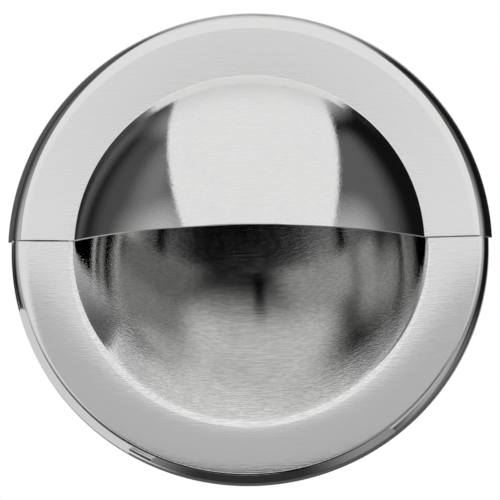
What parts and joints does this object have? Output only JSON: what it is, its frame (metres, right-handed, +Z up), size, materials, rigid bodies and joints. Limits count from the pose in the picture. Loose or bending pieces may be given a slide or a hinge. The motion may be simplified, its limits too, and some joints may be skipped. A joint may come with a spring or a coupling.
{
  "type": "round pull handle",
  "caption": "Round recessed finger pull for a door or drawer front: a shallow pressed dish half covered by a domed hood that the fingers reach up behind.",
  "frame": {"origin": "centre of the round rim, in the plane of its back edge, which is the face of the door", "axes": "-Y out of the door towards the user, +Y into the door, +Z up towards the hood, +X to the right seen from the front"},
  "size_m": [0.1, 0.0276, 0.0992],
  "materials": {
    "dish_steel": "satin stainless steel, brushed from side to side",
    "hood_steel": "satin stainless steel, brushed from side to side"
  },
  "bodies": {
    "root": {"dish": "dish_steel", "hood": "hood_steel"}
  },
  "joints": []
}
